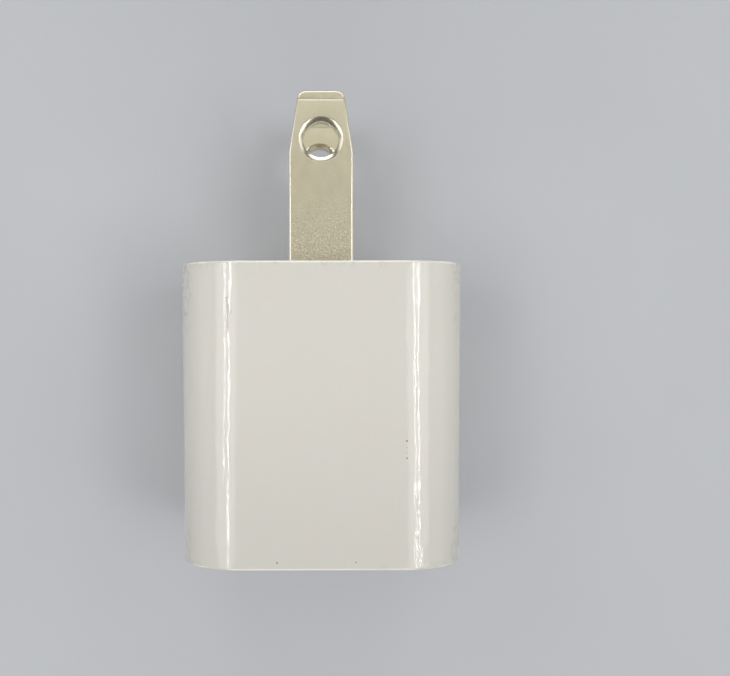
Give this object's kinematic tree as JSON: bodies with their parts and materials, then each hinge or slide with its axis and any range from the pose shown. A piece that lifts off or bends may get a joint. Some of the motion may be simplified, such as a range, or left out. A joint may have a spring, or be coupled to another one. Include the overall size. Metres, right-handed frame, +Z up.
{
  "type": "usb wall charger",
  "caption": "Cube-shaped mains charger with rounded long edges, two flat fixed blades on one face and a USB-A socket in the opposite face.",
  "frame": {"origin": "centre of the prong face, midway between the two blades", "axes": "+Y along the blades, out of the prong face; +Z up from the flat side that the charger lies on, and the blades are stacked along Z; +X to the right, across the blades' width"},
  "size_m": [0.027, 0.0457, 0.027],
  "materials": {
    "casing": "smooth glossy warm-white polycarbonate with fine handling scuffs",
    "blade_plating": "satin nickel plating over brass, finely grained",
    "carrier_plastic": "black glass-filled moulding",
    "strip_bronze": "plain phosphor bronze",
    "board_laminate": "solder-masked glass-epoxy laminate",
    "insulation_film": "thin polyester film",
    "resistor_coating": "conformal coating",
    "inductor_sleeve": "heat-shrink sleeve over a drum coil",
    "disc_coating": "dipped epoxy over a ceramic disc",
    "capacitor_sleeve": "printed plastic sleeve over an aluminium can, left unprinted here",
    "core_ferrite": "sintered ferrite",
    "winding_copper": "enamelled copper wire",
    "winding_tape": "yellow polyester tape over the outer winding",
    "pin_tin": "tinned pin",
    "chip_moulding": "moulded epoxy package",
    "chip_ceramic": "bare ceramic chip",
    "port_steel": "nickel-plated sheet steel",
    "tongue_plastic": "white moulded insulator",
    "contact_gold": "gold flash over copper alloy"
  },
  "bodies": {
    "charger": {"outer_shell": "casing", "prong_cap": "casing", "blade_live": "blade_plating", "blade_neutral": "blade_plating", "blade_carrier": "carrier_plastic", "transformer_bobbin": "carrier_plastic", "live_contact_strip": "strip_bronze", "neutral_contact_strip": "strip_bronze", "primary_board": "board_laminate", "secondary_board": "board_laminate", "insulation_film": "insulation_film", "fusible_resistor": "resistor_coating", "filter_inductor": "inductor_sleeve", "safety_capacitor": "disc_coating", "input_capacitor_1": "capacitor_sleeve", "input_capacitor_2": "capacitor_sleeve", "output_capacitor_1": "capacitor_sleeve", "output_capacitor_2": "capacitor_sleeve", "transformer_core_upper": "core_ferrite", "transformer_core_lower": "core_ferrite", "transformer_primary_winding": "winding_copper", "transformer_secondary_winding": "winding_tape", "transformer_primary_pin_1": "pin_tin", "transformer_primary_pin_2": "pin_tin", "transformer_auxiliary_pin_1": "pin_tin", "transformer_auxiliary_pin_2": "pin_tin", "transformer_output_pin_1": "pin_tin", "transformer_output_pin_2": "pin_tin", "bridge_rectifier": "chip_moulding", "switching_transistor": "chip_moulding", "controller_chip": "chip_moulding", "snubber_diode": "chip_moulding", "snubber_resistor": "chip_moulding", "optocoupler": "chip_moulding", "output_rectifier": "chip_moulding", "output_inductor": "chip_moulding", "voltage_reference": "chip_moulding", "data_resistor_1": "chip_moulding", "data_resistor_2": "chip_moulding", "data_resistor_3": "chip_moulding", "data_resistor_4": "chip_moulding", "snubber_capacitor": "chip_ceramic", "usb_shell": "port_steel", "usb_tongue": "tongue_plastic", "usb_contact_tail_1": "contact_gold", "usb_contact_tail_2": "contact_gold", "usb_contact_tail_3": "contact_gold", "usb_contact_tail_4": "contact_gold"},
    "usb_contact_1": {"usb_contact_1": "contact_gold"},
    "usb_contact_2": {"usb_contact_2": "contact_gold"},
    "usb_contact_3": {"usb_contact_3": "contact_gold"},
    "usb_contact_4": {"usb_contact_4": "contact_gold"},
    "usb_latch_spring_1": {"usb_latch_spring_1": "port_steel"},
    "usb_latch_spring_2": {"usb_latch_spring_2": "port_steel"},
    "usb_latch_spring_3": {"usb_latch_spring_3": "port_steel"},
    "usb_latch_spring_4": {"usb_latch_spring_4": "port_steel"}
  },
  "joints": [
    {"name": "usb_contact_1_flex", "type": "hinge", "parent": "charger", "child": "usb_contact_1", "pos_m": [0.00055, -0.0165, -0.0035], "axis": [0, 0, 1], "range_deg": [0, 5], "stiffness_Nm_per_rad": 0.05},
    {"name": "usb_contact_2_flex", "type": "hinge", "parent": "charger", "child": "usb_contact_2", "pos_m": [0.00055, -0.0165, -0.001], "axis": [0, 0, 1], "range_deg": [0, 5], "stiffness_Nm_per_rad": 0.05},
    {"name": "usb_contact_3_flex", "type": "hinge", "parent": "charger", "child": "usb_contact_3", "pos_m": [0.00055, -0.0165, 0.001], "axis": [0, 0, 1], "range_deg": [0, 5], "stiffness_Nm_per_rad": 0.05},
    {"name": "usb_contact_4_flex", "type": "hinge", "parent": "charger", "child": "usb_contact_4", "pos_m": [0.00055, -0.0165, 0.0035], "axis": [0, 0, 1], "range_deg": [0, 5], "stiffness_Nm_per_rad": 0.05},
    {"name": "usb_latch_spring_1_flex", "type": "hinge", "parent": "charger", "child": "usb_latch_spring_1", "pos_m": [-0.00271, -0.0259, -0.0032], "axis": [0, 0, 1], "range_deg": [0, 4], "stiffness_Nm_per_rad": 0.08},
    {"name": "usb_latch_spring_2_flex", "type": "hinge", "parent": "charger", "child": "usb_latch_spring_2", "pos_m": [-0.00271, -0.0259, 0.0032], "axis": [0, 0, 1], "range_deg": [0, 4], "stiffness_Nm_per_rad": 0.08},
    {"name": "usb_latch_spring_3_flex", "type": "hinge", "parent": "charger", "child": "usb_latch_spring_3", "pos_m": [0.00271, -0.0259, -0.0032], "axis": [0, 0, -1], "range_deg": [0, 4], "stiffness_Nm_per_rad": 0.08},
    {"name": "usb_latch_spring_4_flex", "type": "hinge", "parent": "charger", "child": "usb_latch_spring_4", "pos_m": [0.00271, -0.0259, 0.0032], "axis": [0, 0, -1], "range_deg": [0, 4], "stiffness_Nm_per_rad": 0.08}
  ]
}
